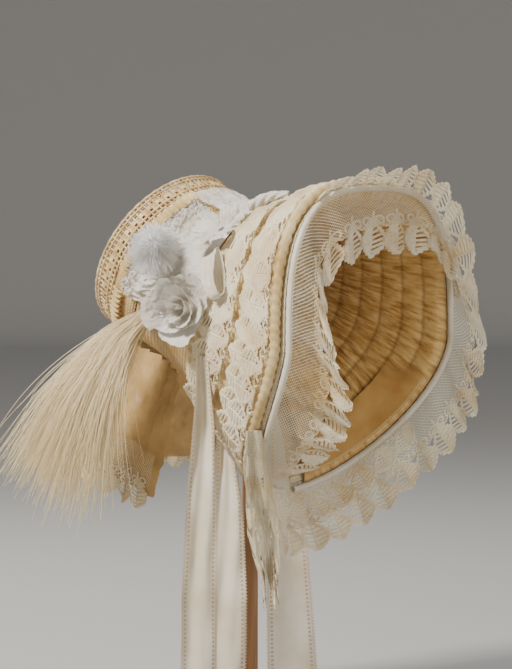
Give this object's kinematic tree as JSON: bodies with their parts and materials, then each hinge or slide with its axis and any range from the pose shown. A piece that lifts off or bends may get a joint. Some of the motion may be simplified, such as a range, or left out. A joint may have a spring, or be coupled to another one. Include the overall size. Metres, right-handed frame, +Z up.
{
  "type": "poke bonnet on a wooden stand",
  "caption": "Straw poke bonnet with shirred silk lining, leaf lace frills, silk rose, plume, neck curtain and ribbon ties, held on a turned wooden stand.",
  "frame": {"origin": "middle of the underside of the stand's base", "axes": "+Z up, the face opening looks along -Y, the wearer's right is -X"},
  "size_m": [0.2937, 0.3151, 0.4444],
  "materials": {
    "crown": "plaited straw",
    "crown_braid": "openwork straw",
    "brim": "plaited straw",
    "brim_silk": "gathered silk",
    "lining": "shirred silk",
    "lining_band": "smooth silk",
    "rim_binding": "satin",
    "rim_roll": "rolled silk",
    "lace_inner": "net lace",
    "lace_outer": "net lace",
    "lace_tier_front": "net lace",
    "lace_tier_back": "net lace",
    "lace_edge": "net lace",
    "lace_jabot": "net lace",
    "ruche_upper": "pleated silk",
    "ruche_lower": "pleated silk",
    "tulle_puff": "tulle",
    "down_tuft": "down",
    "silk_petals": "silk",
    "rose": "silk",
    "ribbon_loop": "satin",
    "plume": "curled fibre",
    "tulle_drape": "tulle",
    "crepe_twist": "crepe",
    "bavolet": "taffeta",
    "bavolet_lace": "net lace",
    "tie_back": "satin",
    "tie_front": "satin",
    "tie_far": "satin",
    "stand_base": "waxed",
    "stand_post": "waxed",
    "stand_head": "waxed"
  },
  "bodies": {
    "root": {"crown": "crown", "crown_braid": "crown_braid", "brim": "brim", "brim_silk": "brim_silk", "lining": "lining", "lining_band": "lining_band", "rim_binding": "rim_binding", "rim_roll": "rim_roll", "lace_inner": "lace_inner", "lace_outer": "lace_outer", "lace_tier_front": "lace_tier_front", "lace_tier_back": "lace_tier_back", "lace_edge": "lace_edge", "lace_jabot": "lace_jabot", "ruche_upper": "ruche_upper", "ruche_lower": "ruche_lower", "tulle_puff": "tulle_puff", "down_tuft": "down_tuft", "silk_petals": "silk_petals", "rose": "rose", "ribbon_loop": "ribbon_loop", "plume": "plume", "tulle_drape": "tulle_drape", "crepe_twist": "crepe_twist", "bavolet": "bavolet", "bavolet_lace": "bavolet_lace", "tie_back": "tie_back", "tie_front": "tie_front", "tie_far": "tie_far", "stand_base": "stand_base", "stand_post": "stand_post", "stand_head": "stand_head"}
  },
  "joints": []
}
